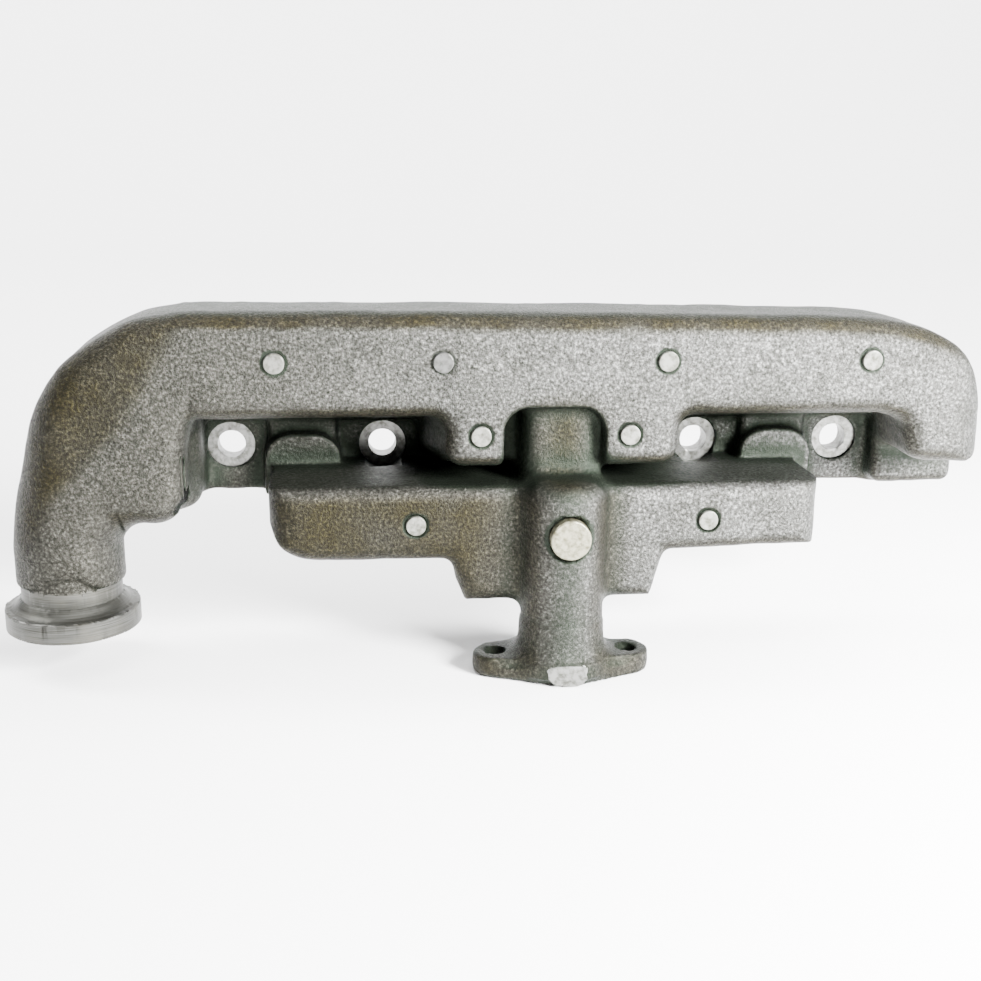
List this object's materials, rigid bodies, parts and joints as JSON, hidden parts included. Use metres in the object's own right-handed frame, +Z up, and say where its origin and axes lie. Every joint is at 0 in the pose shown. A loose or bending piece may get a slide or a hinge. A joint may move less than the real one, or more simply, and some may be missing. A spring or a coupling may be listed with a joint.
{
  "type": "intake and exhaust manifold",
  "caption": "Cast iron combined intake and exhaust manifold: bolts to an engine head, carries gas to a flanged outlet, feeds air from a carburettor flange.",
  "frame": {"origin": "on the mounting face, on the stud line, midway between the inner studs", "axes": "+X along the manifold away from the exhaust outlet, +Y into the engine, +Z up; the mounting face is the plane Y = 0"},
  "size_m": [0.4409, 0.089, 0.161],
  "materials": {
    "casting_iron": "shot-blasted raw casting with a thin oil film",
    "chaplet_steel": "ground flush-headed steel",
    "plug_steel": "ground, slightly yellowed steel"
  },
  "bodies": {
    "root": {"manifold_casting": "casting_iron", "log_front_chaplet_1": "chaplet_steel", "log_front_chaplet_2": "chaplet_steel", "log_front_chaplet_3": "chaplet_steel", "log_front_chaplet_4": "chaplet_steel", "log_rear_chaplet_1": "chaplet_steel", "log_rear_chaplet_2": "chaplet_steel", "log_rear_chaplet_3": "chaplet_steel", "log_rear_chaplet_4": "chaplet_steel", "ear_chaplet_1": "chaplet_steel", "ear_chaplet_2": "chaplet_steel", "intake_front_chaplet_1": "chaplet_steel", "intake_front_chaplet_2": "chaplet_steel", "intake_rear_chaplet_1": "chaplet_steel", "intake_rear_chaplet_2": "chaplet_steel", "riser_plug": "plug_steel"}
  },
  "joints": []
}
